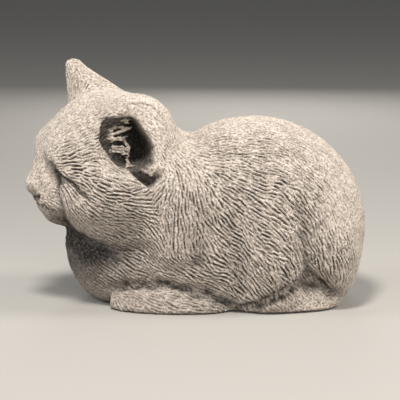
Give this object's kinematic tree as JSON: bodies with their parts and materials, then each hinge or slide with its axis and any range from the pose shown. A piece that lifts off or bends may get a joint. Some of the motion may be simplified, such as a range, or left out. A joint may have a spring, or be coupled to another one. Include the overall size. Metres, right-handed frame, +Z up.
{
  "type": "cat statue",
  "caption": "Garden statue of a sleeping cat lying on its folded paws with its head turned a little aside, one solid piece of cast stone with carved fur and a flat underside.",
  "frame": {"origin": "on the flat underside, on the cat's centre line, midway between nose and rump", "axes": "+Z up; the cat looks towards -X, its head turned 18 degrees to its left, -Y; +X points out of its rump"},
  "size_m": [0.2958, 0.1668, 0.2093],
  "materials": {
    "cast_stone": "matt warm grey cast stone with a fine grit and carved fur, dirt-dark in the ears and creases"
  },
  "bodies": {
    "root": {"cat": "cast_stone"}
  },
  "joints": []
}
